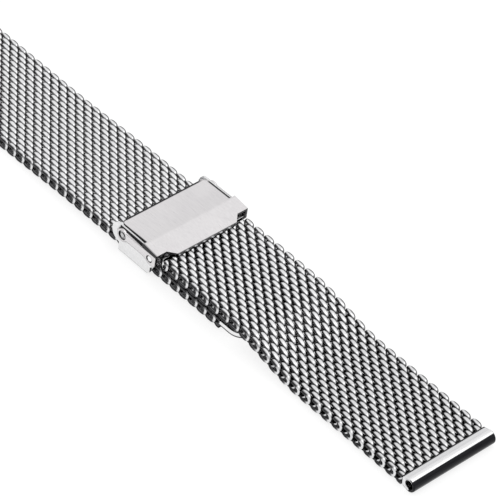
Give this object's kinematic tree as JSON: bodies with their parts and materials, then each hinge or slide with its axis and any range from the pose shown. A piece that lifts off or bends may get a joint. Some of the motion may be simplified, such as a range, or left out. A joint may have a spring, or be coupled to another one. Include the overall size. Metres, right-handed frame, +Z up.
{
  "type": "metal mesh watch bracelet",
  "caption": "Woven steel mesh watch bracelet in two straps, joined by a sliding clasp with a fold-over cover, with a tube for a spring bar at each end.",
  "frame": {"origin": "on the ground, under the middle of the closed bracelet as it lies stretched out", "axes": "+X along the bracelet from the long strap to the short strap's end, +Y across it, +Z up, away from the wrist"},
  "size_m": [0.156, 0.0216, 0.0063],
  "materials": {
    "mesh_steel": "bright woven stainless wire, flattened and polished on the face",
    "brushed_cover": "fine satin grain across the strap",
    "polished_steel": "polished stainless steel",
    "pin_steel": "drawn steel, plain"
  },
  "bodies": {
    "clasp": {"clasp_frame": "polished_steel", "front_bar": "pin_steel", "hinge_rivets": "pin_steel", "lever_pin": "pin_steel"},
    "cover": {"fold_over_cover": "brushed_cover"},
    "lever": {"locking_lever": "polished_steel"},
    "hook": {"short_strap_hook": "polished_steel", "short_mesh_1": "mesh_steel"},
    "short_2": {"short_mesh_2": "mesh_steel"},
    "short_3": {"short_mesh_3": "mesh_steel"},
    "short_4": {"short_mesh_4": "mesh_steel"},
    "short_5": {"short_mesh_5": "mesh_steel", "short_end_tube": "polished_steel"},
    "slider": {"long_mesh_clasp": "mesh_steel"},
    "tail": {"tail_mesh": "mesh_steel", "tail_tip": "polished_steel"},
    "long_1": {"long_mesh_1": "mesh_steel"},
    "long_2": {"long_mesh_2": "mesh_steel"},
    "long_3": {"long_mesh_3": "mesh_steel"},
    "long_4": {"long_mesh_4": "mesh_steel"},
    "long_5": {"long_mesh_5": "mesh_steel"},
    "long_6": {"long_mesh_6": "mesh_steel", "long_end_tube": "polished_steel"}
  },
  "joints": [
    {"name": "cover_hinge", "type": "hinge", "parent": "clasp", "child": "cover", "pos_m": [0.00554, 0, 0.00451], "axis": [0, -1, 0], "range_deg": [0, 92]},
    {"name": "lever_hinge", "type": "hinge", "parent": "clasp", "child": "lever", "pos_m": [0.0063, 0, 0.0004], "axis": [0, 1, 0], "range_deg": [0, 85]},
    {"name": "hook_pivot", "type": "hinge", "parent": "clasp", "child": "hook", "pos_m": [0.01265, 0, 0.00428], "axis": [0, 1, 0], "range_deg": [-2, 0.3]},
    {"name": "size_slide", "type": "slide", "parent": "clasp", "child": "slider", "axis": [1, 0, 0], "range_m": [-0.016, 0]},
    {"name": "short_flex_1", "type": "hinge", "parent": "hook", "child": "short_2", "pos_m": [0.0241, 0, 0.0041], "axis": [0, 1, 0], "range_deg": [0, 20]},
    {"name": "short_flex_2", "type": "hinge", "parent": "short_2", "child": "short_3", "pos_m": [0.0371, 0, 0.00369], "axis": [0, 1, 0], "range_deg": [-30, 30]},
    {"name": "short_flex_3", "type": "hinge", "parent": "short_3", "child": "short_4", "pos_m": [0.0501, 0, 0.0014], "axis": [0, 1, 0], "range_deg": [-30, 30]},
    {"name": "short_flex_4", "type": "hinge", "parent": "short_4", "child": "short_5", "pos_m": [0.0631, 0, 0.0014], "axis": [0, 1, 0], "range_deg": [-30, 30]},
    {"name": "tail_flex", "type": "hinge", "parent": "slider", "child": "tail", "pos_m": [0.0241, 0, 0.0018], "axis": [0, 1, 0], "range_deg": [0, 20]},
    {"name": "long_flex_1", "type": "hinge", "parent": "slider", "child": "long_1", "pos_m": [-0.0058, 0, 0.0018], "axis": [0, -1, 0], "range_deg": [-30, 30]},
    {"name": "long_flex_2", "type": "hinge", "parent": "long_1", "child": "long_2", "pos_m": [-0.0173, 0, 0.00149], "axis": [0, -1, 0], "range_deg": [-30, 30]},
    {"name": "long_flex_3", "type": "hinge", "parent": "long_2", "child": "long_3", "pos_m": [-0.0288, 0, 0.00107], "axis": [0, -1, 0], "range_deg": [-30, 30]},
    {"name": "long_flex_4", "type": "hinge", "parent": "long_3", "child": "long_4", "pos_m": [-0.0403, 0, 0.00105], "axis": [0, -1, 0], "range_deg": [-30, 30]},
    {"name": "long_flex_5", "type": "hinge", "parent": "long_4", "child": "long_5", "pos_m": [-0.0518, 0, 0.00105], "axis": [0, -1, 0], "range_deg": [-30, 30]},
    {"name": "long_flex_6", "type": "hinge", "parent": "long_5", "child": "long_6", "pos_m": [-0.0633, 0, 0.00105], "axis": [0, -1, 0], "range_deg": [-30, 30]}
  ],
  "couplings": [
    {"joint": "tail_flex", "follows": "short_flex_1", "ratio": 1}
  ]
}
